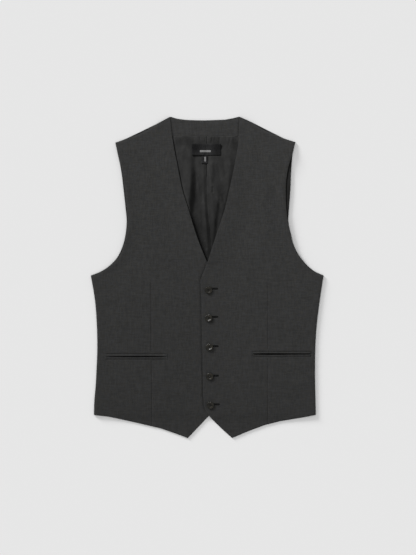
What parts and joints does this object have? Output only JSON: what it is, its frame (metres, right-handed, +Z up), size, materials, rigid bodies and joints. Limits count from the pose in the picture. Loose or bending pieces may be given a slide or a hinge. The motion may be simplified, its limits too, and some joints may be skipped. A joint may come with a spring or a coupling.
{
  "type": "suit waistcoat",
  "caption": "Single-breasted suit waistcoat of dark wool, buttoned and laid flat: V neck, welted lower pockets, pointed hem, satin back and lining.",
  "frame": {"origin": "centre of the bounding box's underside, on the surface that the waistcoat lies on", "axes": "+X toward the wearer's left, +Y from the hem toward the neck, +Z up from the surface to the fronts"},
  "size_m": [0.4942, 0.683, 0.0105],
  "materials": {
    "wool": "charcoal worsted wool, matte, fine plain weave",
    "satin": "dark grey lining satin, soft sheen",
    "woven_label": "near-black woven ribbon",
    "horn": "dark brown horn look, polished"
  },
  "bodies": {
    "root": {"front_left": "wool", "front_right": "wool", "back_left": "satin", "back_right": "satin", "back_lining_left": "satin", "back_lining_right": "satin", "neck_facing": "wool", "label": "woven_label", "size_tab": "woven_label", "pocket_left_upper_welt": "wool", "pocket_left_lower_welt": "wool", "pocket_right_upper_welt": "wool", "pocket_right_lower_welt": "wool", "button_1": "horn", "button_2": "horn", "button_3": "horn", "button_4": "horn", "button_5": "horn"}
  },
  "joints": []
}
